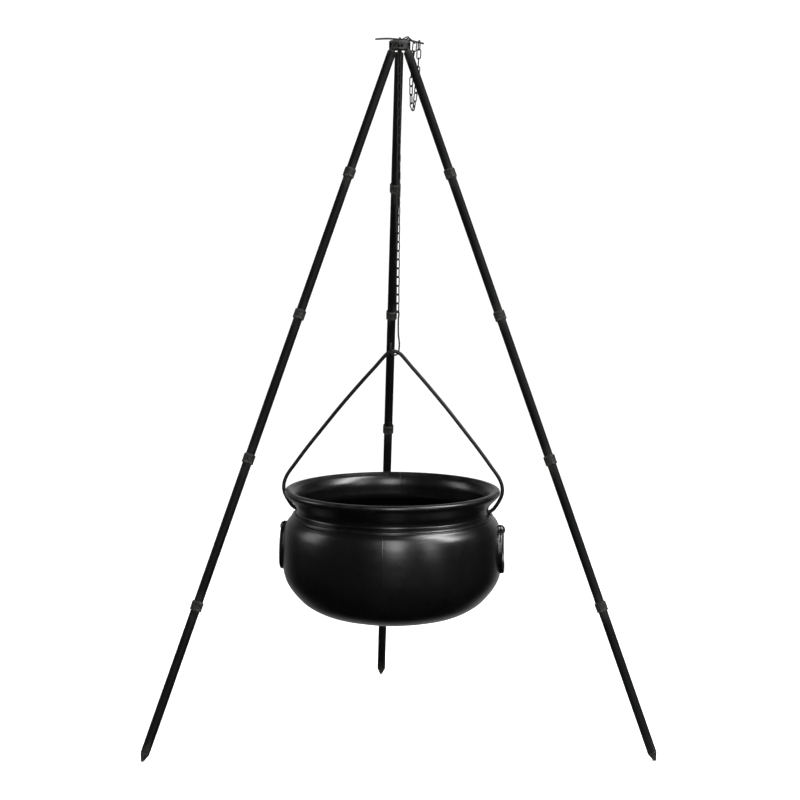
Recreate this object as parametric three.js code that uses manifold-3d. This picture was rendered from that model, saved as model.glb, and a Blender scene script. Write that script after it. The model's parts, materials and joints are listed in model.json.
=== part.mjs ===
// Campfire tripod with a hanging cauldron.
// Millimetres, +Z up, origin on the ground at the middle of the footprint box.
// The rear leg points to +Y, the open front of the tripod faces -Y. Everything is
// drawn about the axis of the tripod head first and moved by HEAD_Y at the end.
import * as THREE from 'three';
import { mergeVertices } from 'three/addons/utils/BufferGeometryUtils.js';
import Module from 'manifold-3d';

const wasm = await Module();
wasm.setup();

// ---------------------------------------------------------------- shared dimensions
// Names ending in _R are radii, _Z heights above the ground, _AZ degrees seen from above.
const HEAD_Y = -116.3;           // head axis in the finished frame
const GAP = 0.3;                 // clearance between neighbouring pieces

const LEG_AZ = { left: 210, right: 330, rear: 90.7 };
const PIVOT_Z = 1146.8;          // height of the three hinge pins
const PIVOT_R = 11.5;            // hinge pin distance from the head axis
const PIN_HOLE_R = 2.3;

const WIRE_R = 1.0;              // chain wire
const LINK_HALF = 9.2;           // half a link's length
const CHAIN_BOTTOM_Z = 713.3;    // centre of the lowest link
const ROD_AZ = 35;

const RIM_Z = 409.6;             // middle of the cauldron rim's top
const EAR_DROP = 37;             // bail holes below the rim
const BAIL_R = 3.1;
const BAIL_TOP_Z = 640.7;        // centre line of the bail at its top

// ---------------------------------------------------------------- materials
const FINISHES = {
  tube: { color: 0x0c0c0d, roughness: 0.45, metalness: 0.3 },
  collar: { color: 0x111112, roughness: 0.5, metalness: 0.2 },
  hub: { color: 0x121213, roughness: 0.5, metalness: 0.4 },
  chain: { color: 0x161617, roughness: 0.45, metalness: 0.6 },
  steel: { color: 0x1b1b1c, roughness: 0.4, metalness: 0.7 },
  cauldron: { color: 0x08080a, roughness: 0.38, metalness: 0.0 },
  bail: { color: 0x0a0a0b, roughness: 0.45, metalness: 0.0 },
};

// ---------------------------------------------------------------- helpers
const MERGE_DISTANCE = 1e-4;

const radians = (degrees) => degrees * Math.PI / 180;
const vec = (x, y, z) => new THREE.Vector3(x, y, z);

// horizontal unit vector
const bearing = (azimuth) => vec(Math.cos(radians(azimuth)), Math.sin(radians(azimuth)), 0);

// points in the upright plane through the head axis, from [distance along azimuth, z]
function pointsInPlane(azimuth, stations) {
  const along = bearing(azimuth);
  return stations.map(([distance, z]) => vec(along.x * distance, along.y * distance, z));
}

// weld the vertices, drop triangles that collapse and face the body outwards
function tidy(source) {
  source.deleteAttribute('normal');
  source.deleteAttribute('uv');
  const welded = mergeVertices(source, MERGE_DISTANCE);
  const position = welded.getAttribute('position');
  const index = welded.getIndex().array;
  const kept = [];
  for (let i = 0; i < index.length; i += 3) {
    const [a, b, c] = [index[i], index[i + 1], index[i + 2]];
    if (a !== b && b !== c && a !== c) kept.push(a, b, c);
  }
  let signedVolume = 0;
  for (let i = 0; i < kept.length; i += 3) {
    const [a, b, c] = [0, 1, 2].map((k) => vec(0, 0, 0).fromBufferAttribute(position, kept[i + k]));
    signedVolume += a.dot(b.cross(c));
  }
  if (signedVolume < 0) {
    for (let i = 0; i < kept.length; i += 3) {
      [kept[i], kept[i + 1]] = [kept[i + 1], kept[i]];
    }
  }
  welded.setIndex(kept);
  return welded;
}

function toSolid(source) {
  const welded = tidy(source);
  return new wasm.Manifold(new wasm.Mesh({
    numProp: 3,
    vertProperties: new Float32Array(welded.getAttribute('position').array),
    triVerts: new Uint32Array(welded.getIndex().array),
  }));
}

function toGeometry(body) {
  const mesh = body.getMesh();
  const geometry = new THREE.BufferGeometry();
  const positions = new Float32Array(mesh.vertProperties);
  geometry.setAttribute('position', new THREE.BufferAttribute(positions, 3));
  geometry.setIndex(Array.from(mesh.triVerts));
  return geometry;
}

const union = (solids) => solids.reduce((whole, part) => whole.add(part));

// revolve a closed [radius, z] outline about Z
function revolve(outline, segments) {
  const points = [...outline, outline[0]].map(([radius, z]) => new THREE.Vector2(radius, z));
  const lathe = new THREE.LatheGeometry(points, segments);
  lathe.rotateX(Math.PI / 2);
  return tidy(lathe);
}

// round bar along a smooth path
function sweep(points, { radius, sides, steps }) {
  const corners = [];
  for (let i = 0; i < sides; i++) {
    const angle = i / sides * Math.PI * 2;
    corners.push(new THREE.Vector2(radius * Math.cos(angle), radius * Math.sin(angle)));
  }
  const section = new THREE.Shape(corners);
  section.closePath();
  const extrudePath = new THREE.CatmullRomCurve3(points, false, 'centripetal');
  return tidy(new THREE.ExtrudeGeometry(section, { steps, bevelEnabled: false, extrudePath }));
}

function addMesh(parent, name, geometry, finish) {
  geometry.computeVertexNormals();
  const mesh = new THREE.Mesh(geometry, new THREE.MeshStandardMaterial(FINISHES[finish]));
  mesh.name = name;
  parent.add(mesh);
  return mesh;
}

const root = new THREE.Group();

// ---------------------------------------------------------------- head
const HUB_R = 18.0;
const HUB_BOTTOM_Z = 1141.5;
const HUB_TOP_Z = 1156.7;
const HUB_TOP_CHAMFER = 1.6;
const HUB_BOTTOM_CHAMFER = 0.8;
const BORE_R = 5.5;              // chain bore through the hub
const SINK_R = 9.5;              // countersink on top of the bore
const SLOT_WIDTH = 5.6;
const SLOT_INNER_R = 7.0;
const SLOT_TOP_Z = 1151.7;
const SLOT_CUT = 20;             // length and height of the slot cutter
const PIN_HOLE_CUT = 34;
const PIN_R = 2.0;
const PIN_LENGTH = 22;
const PIN_SIDES = 10;            // pins and pin holes

// drilled hub, with an open-bottomed slot for each leg's lug
function addHub() {
  let hub = toSolid(revolve([
    [BORE_R, HUB_BOTTOM_Z],
    [HUB_R - HUB_BOTTOM_CHAMFER, HUB_BOTTOM_Z],
    [HUB_R, HUB_BOTTOM_Z + HUB_BOTTOM_CHAMFER],
    [HUB_R, HUB_TOP_Z - HUB_TOP_CHAMFER],
    [HUB_R - HUB_TOP_CHAMFER, HUB_TOP_Z],
    [SINK_R, HUB_TOP_Z],
    [BORE_R, HUB_TOP_Z - (SINK_R - BORE_R)],
  ], 30));
  for (const azimuth of Object.values(LEG_AZ)) {
    const turn = new THREE.Matrix4().makeRotationZ(radians(azimuth));
    const slot = new THREE.BoxGeometry(SLOT_CUT, SLOT_WIDTH, SLOT_CUT);
    slot.translate(SLOT_INNER_R + SLOT_CUT / 2, 0, SLOT_TOP_Z - SLOT_CUT / 2);
    slot.applyMatrix4(turn);
    const hole = new THREE.CylinderGeometry(PIN_HOLE_R, PIN_HOLE_R, PIN_HOLE_CUT, PIN_SIDES);
    hole.translate(PIVOT_R, 0, PIVOT_Z);
    hole.applyMatrix4(turn);
    hub = hub.subtract(toSolid(slot)).subtract(toSolid(hole));
  }
  addMesh(root, 'head_hub', toGeometry(hub), 'hub');
}

function addHingePin(side, azimuth) {
  const turned = new THREE.Group();
  turned.rotation.z = radians(azimuth);
  root.add(turned);
  const pin = tidy(new THREE.CylinderGeometry(PIN_R, PIN_R, PIN_LENGTH, PIN_SIDES));
  addMesh(turned, `hinge_pin_${side}`, pin, 'steel').position.set(PIVOT_R, 0, PIVOT_Z);
}

addHub();
for (const [side, azimuth] of Object.entries(LEG_AZ)) addHingePin(side, azimuth);

// ---------------------------------------------------------------- legs
// A leg is drawn hanging down -Z from its pin, then leaned outwards.
// "Depth" is the distance from the pin down along the leg.
const SPREAD = 0.3808;           // open leg angle from vertical, radians
const LEG_LENGTH = PIVOT_Z / Math.cos(SPREAD);        // pivot to ground along the leg
const LEG_SEGMENTS = 12;

const LUG_WIDTH = 8.0;
const LUG_THICKNESS = 5.0;
const TONGUE_LENGTH = 12;
const FLANGE_R = 6.8;            // shoulder of the top lug, clear of the head
const FLANGE_DEPTH = 9.0;
const LUG_PLUG_END = 35;         // depth of the plug's lower end
const PLUG_CHAMFER = 1;

const TUBE_R = 7.4;
const TUBE_BORE_R = 6.3;
const TUBE_TOP = 10.5;           // depth of the first section's top
const SECTIONS = 5;
const SPIGOT_R = 6.0;
const SPIGOT_BORE_R = 5.0;
const SPIGOT_LENGTH = 32;
const BORE_STEP = [1.8, 3];      // where the bore widens, below the section's shoulder

// depths of the collar centres; the rear leg's joints sit a little differently
const COLLAR_DEPTHS = {
  left: [227.2, 477.2, 727.2, 977.2],
  right: [227.2, 477.2, 727.2, 977.2],
  rear: [248.8, 485.9, 710.7, 962],
};
const JOINT_BELOW_COLLAR = 3;    // joint below its collar's centre
const COLLAR_R = 9.5;
const COLLAR_BORE_R = 7.7;
const COLLAR_HALF = 7.8;         // half a collar's length
const COLLAR_CHAMFER = 0.8;

const SPIKE_TOP = LEG_LENGTH - 13.0;    // depth of the spike's shoulder
const SPIKE_PLUG_LENGTH = 25;
const SPIKE_RIM = 0.8;           // straight edge above the cone
const SPIKE_TIP_R = 1.4;
const SPIKE_OVERRUN = 1.6;       // spike length cut away by the ground
const GROUND_BLOCK = { distance: 473, size: 100, height: 40 };   // distance from head axis

// revolve a closed [radius, depth] outline
function revolveDown(outline) {
  return revolve(outline.map(([radius, depth]) => [radius, -depth]), LEG_SEGMENTS);
}

// a drilled tongue on a plug that closes the first tube
function topLug() {
  const eye = new THREE.CylinderGeometry(LUG_WIDTH / 2, LUG_WIDTH / 2, LUG_THICKNESS, 14);
  const tongue = new THREE.BoxGeometry(LUG_WIDTH, LUG_THICKNESS, TONGUE_LENGTH);
  tongue.translate(0, 0, -TONGUE_LENGTH / 2);
  const plug = revolveDown([
    [0, FLANGE_DEPTH],
    [FLANGE_R, FLANGE_DEPTH],
    [FLANGE_R, TUBE_TOP - GAP],
    [SPIGOT_R, TUBE_TOP - GAP],
    [SPIGOT_R, LUG_PLUG_END - PLUG_CHAMFER],
    [SPIGOT_R - PLUG_CHAMFER, LUG_PLUG_END],
    [0, LUG_PLUG_END],
  ]);
  const hole = new THREE.CylinderGeometry(PIN_HOLE_R, PIN_HOLE_R, 12, PIN_SIDES);
  return toGeometry(union([eye, tongue, plug].map(toSolid)).subtract(toSolid(hole)));
}

function topTube(end) {
  return revolveDown([
    [TUBE_BORE_R, TUBE_TOP], [TUBE_R, TUBE_TOP], [TUBE_R, end], [TUBE_BORE_R, end],
  ]);
}

// lower section, with a spigot that reaches up into the section above
function spigotTube(shoulder, end) {
  return revolveDown([
    [SPIGOT_BORE_R, shoulder - SPIGOT_LENGTH],
    [SPIGOT_R, shoulder - SPIGOT_LENGTH],
    [SPIGOT_R, shoulder],
    [TUBE_R, shoulder],
    [TUBE_R, end],
    [TUBE_BORE_R, end],
    [TUBE_BORE_R, shoulder + BORE_STEP[1]],
    [SPIGOT_BORE_R, shoulder + BORE_STEP[0]],
  ]);
}

function collar(depth) {
  const top = depth - COLLAR_HALF;
  const bottom = depth + COLLAR_HALF;
  return revolveDown([
    [COLLAR_BORE_R, top],
    [COLLAR_R - COLLAR_CHAMFER, top],
    [COLLAR_R, top + COLLAR_CHAMFER],
    [COLLAR_R, bottom - COLLAR_CHAMFER],
    [COLLAR_R - COLLAR_CHAMFER, bottom],
    [COLLAR_BORE_R, bottom],
  ]);
}

// ground spike, cut flat where it meets the ground
function spike(azimuth, legMatrix) {
  const plugTop = SPIKE_TOP - SPIKE_PLUG_LENGTH;
  const whole = revolveDown([
    [0, plugTop],
    [SPIGOT_R - PLUG_CHAMFER, plugTop],
    [SPIGOT_R, plugTop + PLUG_CHAMFER],
    [SPIGOT_R, SPIKE_TOP],
    [TUBE_R, SPIKE_TOP],
    [TUBE_R, SPIKE_TOP + SPIKE_RIM],
    [SPIKE_TIP_R, LEG_LENGTH + SPIKE_OVERRUN],
    [0, LEG_LENGTH + SPIKE_OVERRUN],
  ]);
  whole.applyMatrix4(legMatrix);
  const { distance, size, height } = GROUND_BLOCK;
  const ground = new THREE.BoxGeometry(size, size, height);
  const outward = bearing(azimuth);
  ground.translate(outward.x * distance, outward.y * distance, -height / 2);
  const cut = toGeometry(toSolid(whole).subtract(toSolid(ground)));
  cut.applyMatrix4(legMatrix.clone().invert());
  return cut;
}

function addLeg(side, azimuth) {
  const swing = new THREE.Group();
  swing.rotation.z = radians(azimuth);
  const leg = new THREE.Group();
  leg.position.set(PIVOT_R, 0, PIVOT_Z);
  leg.rotation.y = -SPREAD;
  swing.add(leg);
  root.add(swing);
  root.updateMatrixWorld(true);       // the spike is cut in the head's frame

  addMesh(leg, `leg_${side}_top_lug`, topLug(), 'steel');
  const joints = COLLAR_DEPTHS[side].map((depth) => depth + JOINT_BELOW_COLLAR);
  for (let i = 0; i < SECTIONS; i++) {
    const end = i < joints.length ? joints[i] : SPIKE_TOP - GAP;
    const tube = i === 0 ? topTube(end) : spigotTube(joints[i - 1] + GAP, end);
    addMesh(leg, `leg_${side}_tube_${i + 1}`, tube, 'tube');
  }
  COLLAR_DEPTHS[side].forEach((depth, i) => {
    addMesh(leg, `leg_${side}_collar_${i + 1}`, collar(depth), 'collar');
  });
  addMesh(leg, `leg_${side}_spike`, spike(azimuth, leg.matrixWorld), 'steel');
}

for (const [side, azimuth] of Object.entries(LEG_AZ)) addLeg(side, azimuth);

// ---------------------------------------------------------------- chain links
const LINK_HALF_WIDTH = 4.15;

// Place one link: a ring pulled out along its length. `long` is the direction of
// its long axis and `normal` of its flat side. `up` and `down` are the half
// lengths of its two ends, so that a link beside a joint can be a little longer.
function placeLink(centre, long, normal, up = LINK_HALF, down = LINK_HALF) {
  const ring = new THREE.TorusGeometry(LINK_HALF_WIDTH - WIRE_R, WIRE_R, 5, 8);
  ring.rotateZ(Math.PI / 8);
  const position = ring.getAttribute('position');
  for (let i = 0; i < position.count; i++) {
    const y = position.getY(i);
    position.setY(i, y > 0 ? y + (up - LINK_HALF_WIDTH) : y - (down - LINK_HALF_WIDTH));
  }
  const yAxis = long.clone().normalize();
  const zAxis = normal.clone().addScaledVector(yAxis, -normal.dot(yAxis)).normalize();
  const xAxis = yAxis.clone().cross(zAxis);
  ring.applyMatrix4(new THREE.Matrix4().makeBasis(xAxis, yAxis, zAxis).setPosition(centre));
  return toSolid(ring);
}

// ---------------------------------------------------------------- hanging chain
const CHAIN_TOP_Z = 1153.3;      // centre of the top link
const LAST_LINK = 30;            // links are counted from 0 at the top
const PITCH = (CHAIN_TOP_Z - CHAIN_BOTTOM_Z) / LAST_LINK;
const CHAIN_TWIST = 5;           // twist from rod to hook, degrees
const FLEX_HALF = LINK_HALF + 0.22;     // end half length that leaves a clear gap at a joint
const SWING_LINK = 3;            // last link above the upper flex point
const SWAY_LINK = 16;            // last link above the lower flex point

// the two links that lead over the hub's edge
const TAIL = [
  { centre: vec(7.5, -4.9, 1158.9), long: vec(13.6, -9.0, 6.9), normal: vec(-0.2, 0.3, 0.93) },
  { centre: vec(19.3, -4.8, 1157.0), long: vec(0.712, 0.437, -0.55), normal: vec(0.6, 0, 0.8) },
];

function hangingLinks(first, last, upEnd, downEnd) {
  const links = [];
  for (let i = first; i <= last; i++) {
    const azimuth = ROD_AZ + CHAIN_TWIST * i / LAST_LINK + (i % 2 ? 90 : 0);
    const up = i === first ? upEnd : LINK_HALF;
    const down = i === last ? downEnd : LINK_HALF;
    const centre = vec(0, 0, CHAIN_TOP_Z - PITCH * i);
    links.push(placeLink(centre, vec(0, 0, 1), bearing(azimuth), up, down));
  }
  return links;
}

function addHangingChain() {
  const parts = {
    hanger_links: [
      ...hangingLinks(0, SWING_LINK, LINK_HALF, FLEX_HALF),
      ...TAIL.map(({ centre, long, normal }) => placeLink(centre, long, normal)),
    ],
    chain_upper: hangingLinks(SWING_LINK + 1, SWAY_LINK, FLEX_HALF, FLEX_HALF),
    chain_lower: hangingLinks(SWAY_LINK + 1, LAST_LINK, FLEX_HALF, LINK_HALF),
  };
  for (const [name, links] of Object.entries(parts)) {
    addMesh(root, name, toGeometry(union(links)), 'chain');
  }
}

addHangingChain();

// ---------------------------------------------------------------- cross rod
// rests on the hub, through the top link: [distance along the rod, z]
const ROD_STATIONS = [
  [-50, 1155.9], [-34, 1157.6], [-20, 1158.6], [0, 1158.6],
  [20, 1158.7], [33, 1157.2], [50, 1155.2],
];
addMesh(root, 'cross_rod',
  sweep(pointsInPlane(ROD_AZ, ROD_STATIONS), { radius: 1.6, sides: 8, steps: 16 }), 'steel');

// ---------------------------------------------------------------- spare chain
// down from the rod's end and back up to the tail on the hub's edge
const SPARE_PITCH = 14.4;
const SPARE_DOWN_LINKS = 8;
const SPARE_UP_LINKS = 7;
const SPARE_CONTACT = 0.2;       // taken off each half length at the touching points
const SPARE_AZ = { even: 22, odd: -78 };      // flat sides of alternate links
// both branches from the top down
const SPARE_DOWN = [
  vec(33.7, 23.6, 1158.8), vec(32.6, 22.9, 1125), vec(30.4, 21.4, 1092),
  vec(27.2, 19.8, 1061), vec(24.2, 18.6, 1040),
];
const SPARE_UP = [
  vec(25.44, -1.56, 1153.94), vec(21.2, 4.6, 1118), vec(19.8, 7.4, 1092),
  vec(19.6, 8.6, 1070), vec(20.2, 9.2, 1045),
];

// touching points of the links, one pitch apart, down one branch
function branchJoints(path, links) {
  const curve = new THREE.CatmullRomCurve3(path, false, 'centripetal');
  const points = curve.getSpacedPoints(2400);
  const joints = [points[0]];
  for (const point of points) {
    if (joints.length > links) break;
    if (point.distanceTo(joints[joints.length - 1]) >= SPARE_PITCH) joints.push(point);
  }
  return joints;
}

function addSpareChain() {
  const joints = [
    ...branchJoints(SPARE_DOWN, SPARE_DOWN_LINKS),
    ...branchJoints(SPARE_UP, SPARE_UP_LINKS).reverse(),
  ];
  const last = joints.length - 2;
  const bottom = SPARE_DOWN_LINKS;    // the link that joins the two branches
  const links = [];
  for (let i = 0; i <= last; i++) {
    const centre = joints[i].clone().add(joints[i + 1]).multiplyScalar(0.5);
    const long = joints[i].clone().sub(joints[i + 1]);
    const half = long.length() / 2 + 2 * WIRE_R - SPARE_CONTACT;
    // the loop twists a quarter turn by its bottom
    const twist = 90 * (i <= bottom ? i / bottom : (last - i) / (last - bottom));
    const azimuth = (i % 2 ? SPARE_AZ.odd : SPARE_AZ.even) - twist;
    links.push(placeLink(centre, long, bearing(azimuth), i === 0 ? LINK_HALF : half, half));
  }
  addMesh(root, 'spare_chain', toGeometry(union(links)), 'chain');
}

addSpareChain();

// ---------------------------------------------------------------- S-hook
const HOOK_R = 1.4;
const HOOK_AZ = 220;             // from shank to tip
const HOOK_BELOW_BAIL = 1.9;     // extra drop of the hook's bowl under the bail

function addHook() {
  // upper loop's top, through the last link, and the bottom of the bowl
  const top = CHAIN_BOTTOM_Z - LINK_HALF + 2 * WIRE_R + GAP + HOOK_R;
  const bottom = BAIL_TOP_Z - BAIL_R - GAP - HOOK_R - HOOK_BELOW_BAIL;
  // [distance towards the tip, z]
  const stations = [
    [2.4, top - 10.6], [3.5, top - 7.6], [3.6, top - 4.2], [2.0, top - 0.9], [0, top],
    [-2.2, top - 1.0], [-3.3, top - 4.2], [-3.0, top - 8.2], [-2.2, top - 12.5],
    [-2.2, top - 30], [-2.6, 668], [-4.0, 660], [-4.9, 652], [-4.3, 644.5],
    [-1.8, bottom + 2.8], [4.6, bottom], [11.0, bottom + 2.8], [13.9, bottom + 8.8],
    [14.4, bottom + 15], [14.4, bottom + 20],
  ];
  const path = pointsInPlane(HOOK_AZ, stations);
  addMesh(root, 's_hook', sweep(path, { radius: HOOK_R, sides: 6, steps: 50 }), 'steel');
}

addHook();

// ---------------------------------------------------------------- bail
const potFrame = new THREE.Group();   // hangs at the pot's yaw, level
potFrame.position.set(-5.8, -2.8, 0);
potFrame.rotation.z = radians(-7.5);
root.add(potFrame);

// one side, from the ear up: [distance from the pot's axis, height above the rim]
const BAIL_SIDE = [
  [150.5, -EAR_DROP], [157, -EAR_DROP], [163, -36.6], [168.6, -33.4], [174.4, -26.5],
  [179.6, -18], [183.4, -9.5], [184.8, -1], [183.8, 8], [179.8, 18.5], [173.8, 28],
  [166, 38.5], [155.4, 53.2], [140.6, 72.8], [124.6, 93.0], [108.6, 113.2], [92.6, 133.2],
  [76.4, 152.6], [60.1, 171.6], [43.6, 190.4], [30.8, 204.6], [18, 219.5], [9.7, 227.6],
];

function addBail() {
  const side = (sign) => BAIL_SIDE.map(([x, z]) => vec(sign * x, 0, RIM_Z + z));
  const path = [...side(1), vec(0, 0, BAIL_TOP_Z), ...side(-1).reverse()];
  addMesh(potFrame, 'bail_handle', sweep(path, { radius: BAIL_R, sides: 6, steps: 90 }), 'bail');
}

addBail();

// ---------------------------------------------------------------- cauldron
// Drawn level about its own axis with the rim's middle at z = 0, then tipped
// about the line through its bail holes.
const POT_TILT = 3.3;            // degrees
const POT_SEGMENTS = 40;
const WALL = 3;
const BASE_OUTSIDE = -218.8;
const BASE_INSIDE = BASE_OUTSIDE + WALL;
// [radius, z], up the outside and over the rim
const POT_OUTSIDE = [
  [58, BASE_OUTSIDE], [100, -213.4], [122, -206.7], [141.4, -196.8], [163.6, -176.8],
  [178.0, -155.4], [183.6, -135], [184.3, -108], [183.2, -78], [180.6, -60], [169.6, -46.4],
  [161.6, -40], [160.6, -34], [166.4, -23], [178.6, -9.4], [180.8, -5.0],
  [179.6, -1.4], [176.0, 0.4], [170.0, 0.4], [165.8, -1.2], [164.2, -4.4],
];
// [radius, z], down the inside
const POT_INSIDE = [
  [163.4, -17], [157.6, -32], [158.6, -42], [172.4, -54.2], [180.0, -79],
  [181.3, -108], [180.6, -134.2], [175.2, -153.4], [161.4, -174.2], [139.8, -194.2],
  [120.6, -203.9], [99, -210.4], [56, BASE_INSIDE],
];
const RING = { radius: 34.5, thickness: 3.9, distance: 187.2, z: -102 };
const RING_BEND_R = 185.2;       // the ring follows a wall of this radius
// the ring also leans in beyond `start` from its centre, by `depth` after `span`
const RING_LEAN = {
  above: { start: 8, span: 26, depth: 2.4 },
  below: { start: 12, span: 22, depth: 2.2 },
};
const BOSS = { radius: 8.2, scale: [0.85, 1.15, 1.0], distance: 184.6, z: -67.5 };
const EAR_HOLE = { radius: BAIL_R + 0.8, length: 24, distance: 160 };

const lean = (z, { start, span, depth }) => Math.max(0, (z - start) / span) ** 2 * depth;

// relief ring handle, bent to the wall; sign is the side along X
function reliefRing(sign) {
  const ring = new THREE.TorusGeometry(RING.radius, RING.thickness, 6, 20);
  ring.rotateY(Math.PI / 2);          // into the YZ plane
  const position = ring.getAttribute('position');
  for (let i = 0; i < position.count; i++) {
    const y = position.getY(i);
    const z = position.getZ(i);
    const inward = RING_BEND_R - Math.sqrt(RING_BEND_R * RING_BEND_R - y * y)
      + lean(z, RING_LEAN.above) + lean(-z, RING_LEAN.below);
    position.setX(i, sign * (position.getX(i) + RING.distance - inward));
    position.setZ(i, z + RING.z);
  }
  return toSolid(ring);
}

function ringBoss(sign) {
  const boss = new THREE.SphereGeometry(BOSS.radius, 12, 8);
  boss.scale(...BOSS.scale);
  boss.translate(sign * BOSS.distance, 0, BOSS.z);
  return toSolid(boss);
}

function earHole(sign) {
  const hole = new THREE.CylinderGeometry(EAR_HOLE.radius, EAR_HOLE.radius, EAR_HOLE.length, 12);
  hole.rotateZ(Math.PI / 2);
  hole.translate(sign * EAR_HOLE.distance, 0, -EAR_DROP);
  return toSolid(hole);
}

function addCauldron() {
  const shell = [[0, BASE_OUTSIDE], ...POT_OUTSIDE, ...POT_INSIDE, [0, BASE_INSIDE]];
  let pot = toSolid(revolve(shell, POT_SEGMENTS));
  for (const sign of [1, -1]) pot = pot.add(reliefRing(sign)).add(ringBoss(sign));
  // keep the inside wall smooth where the relief is moulded on
  const cavity = [[0, 5], [150, 5], ...POT_INSIDE, [0, BASE_INSIDE]];
  pot = pot.subtract(toSolid(revolve(cavity, POT_SEGMENTS)));
  for (const sign of [1, -1]) pot = pot.subtract(earHole(sign));

  const geometry = toGeometry(pot);
  geometry.translate(0, 0, EAR_DROP);
  const tipped = new THREE.Group();
  tipped.position.set(0, 0, RIM_Z - EAR_DROP);
  tipped.rotation.x = radians(POT_TILT);
  potFrame.add(tipped);
  addMesh(tipped, 'cauldron', geometry, 'cauldron');
}

addCauldron();

// ---------------------------------------------------------------- frame
const tripod = new THREE.Group();
tripod.position.y = HEAD_Y;
tripod.add(root);

export default tripod;
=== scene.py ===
import sys
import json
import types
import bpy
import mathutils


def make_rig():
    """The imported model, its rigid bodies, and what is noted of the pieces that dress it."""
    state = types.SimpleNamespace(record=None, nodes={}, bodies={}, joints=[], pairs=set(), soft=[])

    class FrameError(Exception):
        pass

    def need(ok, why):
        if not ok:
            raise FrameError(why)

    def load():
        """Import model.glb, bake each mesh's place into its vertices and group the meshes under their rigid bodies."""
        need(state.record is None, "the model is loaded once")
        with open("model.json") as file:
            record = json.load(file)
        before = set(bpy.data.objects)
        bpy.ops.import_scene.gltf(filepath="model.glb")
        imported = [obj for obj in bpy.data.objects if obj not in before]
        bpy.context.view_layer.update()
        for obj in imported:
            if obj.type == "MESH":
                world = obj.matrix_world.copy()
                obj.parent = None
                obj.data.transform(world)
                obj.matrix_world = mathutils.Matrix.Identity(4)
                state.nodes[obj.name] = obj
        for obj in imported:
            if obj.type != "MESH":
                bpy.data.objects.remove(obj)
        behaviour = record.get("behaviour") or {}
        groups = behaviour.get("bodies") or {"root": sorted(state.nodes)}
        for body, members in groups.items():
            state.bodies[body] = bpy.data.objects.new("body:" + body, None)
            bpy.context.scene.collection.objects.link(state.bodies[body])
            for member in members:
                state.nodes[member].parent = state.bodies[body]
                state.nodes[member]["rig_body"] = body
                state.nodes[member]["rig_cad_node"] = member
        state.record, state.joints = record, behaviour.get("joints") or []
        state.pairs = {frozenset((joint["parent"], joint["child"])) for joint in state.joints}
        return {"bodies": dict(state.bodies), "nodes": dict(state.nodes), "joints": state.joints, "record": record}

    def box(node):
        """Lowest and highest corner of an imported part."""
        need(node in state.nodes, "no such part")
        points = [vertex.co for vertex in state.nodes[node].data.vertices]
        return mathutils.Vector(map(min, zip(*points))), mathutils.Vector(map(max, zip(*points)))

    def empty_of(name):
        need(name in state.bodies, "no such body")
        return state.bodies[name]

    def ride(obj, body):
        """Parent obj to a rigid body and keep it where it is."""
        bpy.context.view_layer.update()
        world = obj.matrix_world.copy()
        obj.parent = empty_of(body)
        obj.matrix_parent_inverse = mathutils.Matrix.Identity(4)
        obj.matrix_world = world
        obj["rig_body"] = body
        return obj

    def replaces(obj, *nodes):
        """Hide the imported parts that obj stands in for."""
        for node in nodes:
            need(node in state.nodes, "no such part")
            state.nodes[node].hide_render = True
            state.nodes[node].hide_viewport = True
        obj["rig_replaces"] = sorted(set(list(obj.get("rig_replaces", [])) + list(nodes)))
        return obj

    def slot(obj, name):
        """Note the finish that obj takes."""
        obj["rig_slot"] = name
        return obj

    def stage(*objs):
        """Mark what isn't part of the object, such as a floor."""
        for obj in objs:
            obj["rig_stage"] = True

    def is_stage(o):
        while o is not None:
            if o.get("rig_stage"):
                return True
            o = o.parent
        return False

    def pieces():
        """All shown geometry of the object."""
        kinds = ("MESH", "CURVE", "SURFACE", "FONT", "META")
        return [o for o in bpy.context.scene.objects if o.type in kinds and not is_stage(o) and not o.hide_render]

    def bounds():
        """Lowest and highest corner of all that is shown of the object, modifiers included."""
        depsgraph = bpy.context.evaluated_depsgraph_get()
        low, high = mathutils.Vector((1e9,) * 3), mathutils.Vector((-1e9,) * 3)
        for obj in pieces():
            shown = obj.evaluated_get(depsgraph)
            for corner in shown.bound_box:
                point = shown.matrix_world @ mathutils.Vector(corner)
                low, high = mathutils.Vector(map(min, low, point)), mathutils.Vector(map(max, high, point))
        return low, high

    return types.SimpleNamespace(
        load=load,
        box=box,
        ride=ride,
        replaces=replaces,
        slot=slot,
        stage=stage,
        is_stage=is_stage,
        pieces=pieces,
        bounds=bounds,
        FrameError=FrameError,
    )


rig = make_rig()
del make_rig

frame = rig.load()
CAD_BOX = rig.bounds()

import json
import math

import bpy
import numpy as np
from mathutils import Matrix, Vector

# ------------------------------------------------------------------ frame
# Shapes below are drawn in millimetres about the axis of the tripod head, which
# the frame gives, and turned into metres when the mesh is made.
MM = 0.001
_lo, _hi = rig.box("head_hub")
HEAD = Matrix.Translation(Vector(((_lo.x + _hi.x) / 2, (_lo.y + _hi.y) / 2, 0)))
HUB_R = (_hi.x - _lo.x) / 2 / MM
HUB_Z0, HUB_Z1 = _lo.z / MM, _hi.z / MM
PIVOT_Z, PIVOT_R, SPREAD = HUB_Z0 + 5.3, 11.5, 0.3808
LEG_AZ = {"left": 210, "right": 330, "rear": 90.7}
LEG_LEN = PIVOT_Z / math.cos(SPREAD)
COLLARS = {"left": (227.2, 477.2, 727.2, 977.2), "right": (227.2, 477.2, 727.2, 977.2), "rear": (248.8, 485.9, 710.7, 962)}
TUBE_R, COLLAR_R, SPIGOT_R = 7.4, 9.5, 6.0
SPIKE_TOP = LEG_LEN - 13.0


def rad(d):
    return d * math.pi / 180


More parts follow.
